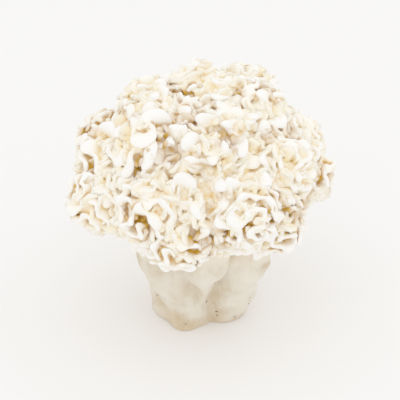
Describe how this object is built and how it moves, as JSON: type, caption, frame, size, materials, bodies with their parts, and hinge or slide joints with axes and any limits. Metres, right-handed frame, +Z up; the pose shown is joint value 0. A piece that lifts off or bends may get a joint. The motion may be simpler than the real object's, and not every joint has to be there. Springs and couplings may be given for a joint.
{
  "type": "cauliflower mushroom",
  "caption": "Fresh cauliflower mushroom: a dense rounded head of pale wavy lobes on a stout tapering stem, standing on its flat cut base.",
  "frame": {"origin": "middle of the head's outline seen from above, on the plane of the cut face at the foot of the stem", "axes": "+Z up, from the cut face to the crown; +X along the head's longer side"},
  "size_m": [0.092, 0.084, 0.084],
  "materials": {
    "mushroom_flesh": "matte, slightly moist fungal flesh, cream white at the lobes' edges and tan in the hollows"
  },
  "bodies": {
    "root": {"cauliflower_mushroom": "mushroom_flesh"}
  },
  "joints": []
}
